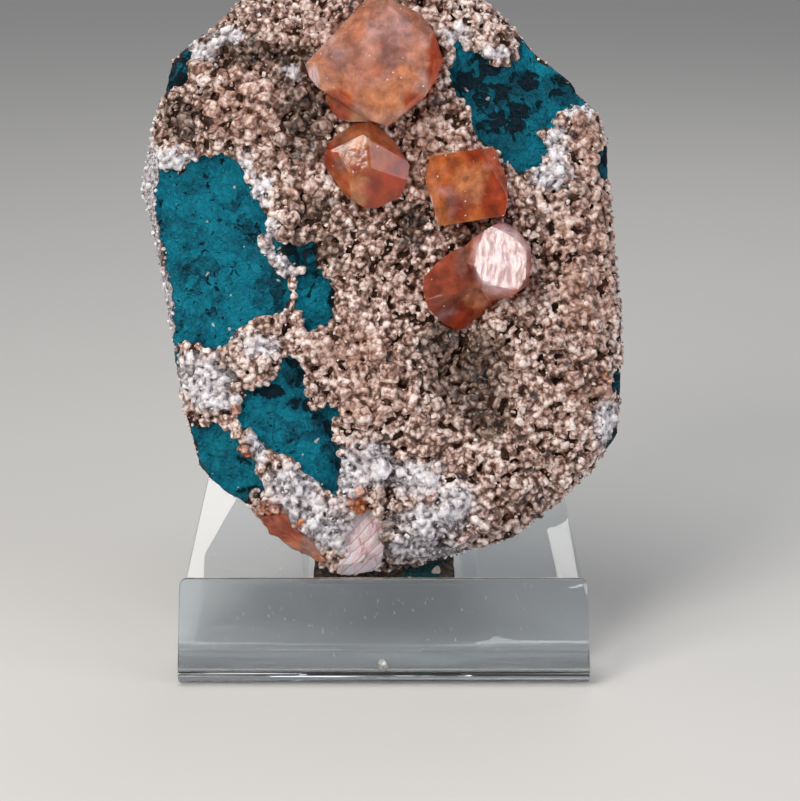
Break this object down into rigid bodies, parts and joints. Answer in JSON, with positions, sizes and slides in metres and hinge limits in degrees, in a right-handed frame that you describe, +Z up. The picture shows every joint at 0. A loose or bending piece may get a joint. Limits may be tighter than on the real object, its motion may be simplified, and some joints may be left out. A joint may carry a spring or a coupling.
{
  "type": "mineral specimen on an easel",
  "caption": "Slab of pink-tan heulandite crust with orange-red calcite crystals and teal celadonite, leaning on a bent clear acrylic easel.",
  "frame": {"origin": "the middle of the underside of the easel's shelf, on the table", "axes": "+Z up, +X to the right across the easel, +Y to the back, so the specimen's crystal face looks along -Y and a little up"},
  "size_m": [0.1192, 0.0829, 0.164],
  "materials": {
    "heulandite": "crystalline crust, satin",
    "red_calcite": "translucent, glossy cleavage faces",
    "clear_acrylic": "clear, polished"
  },
  "bodies": {
    "root": {"heulandite_matrix": "heulandite", "calcite_upper_pair": "red_calcite", "calcite_rhomb": "red_calcite", "calcite_lower_twin": "red_calcite", "calcite_tip": "red_calcite", "calcite_edge": "red_calcite", "acrylic_easel": "clear_acrylic"}
  },
  "joints": []
}
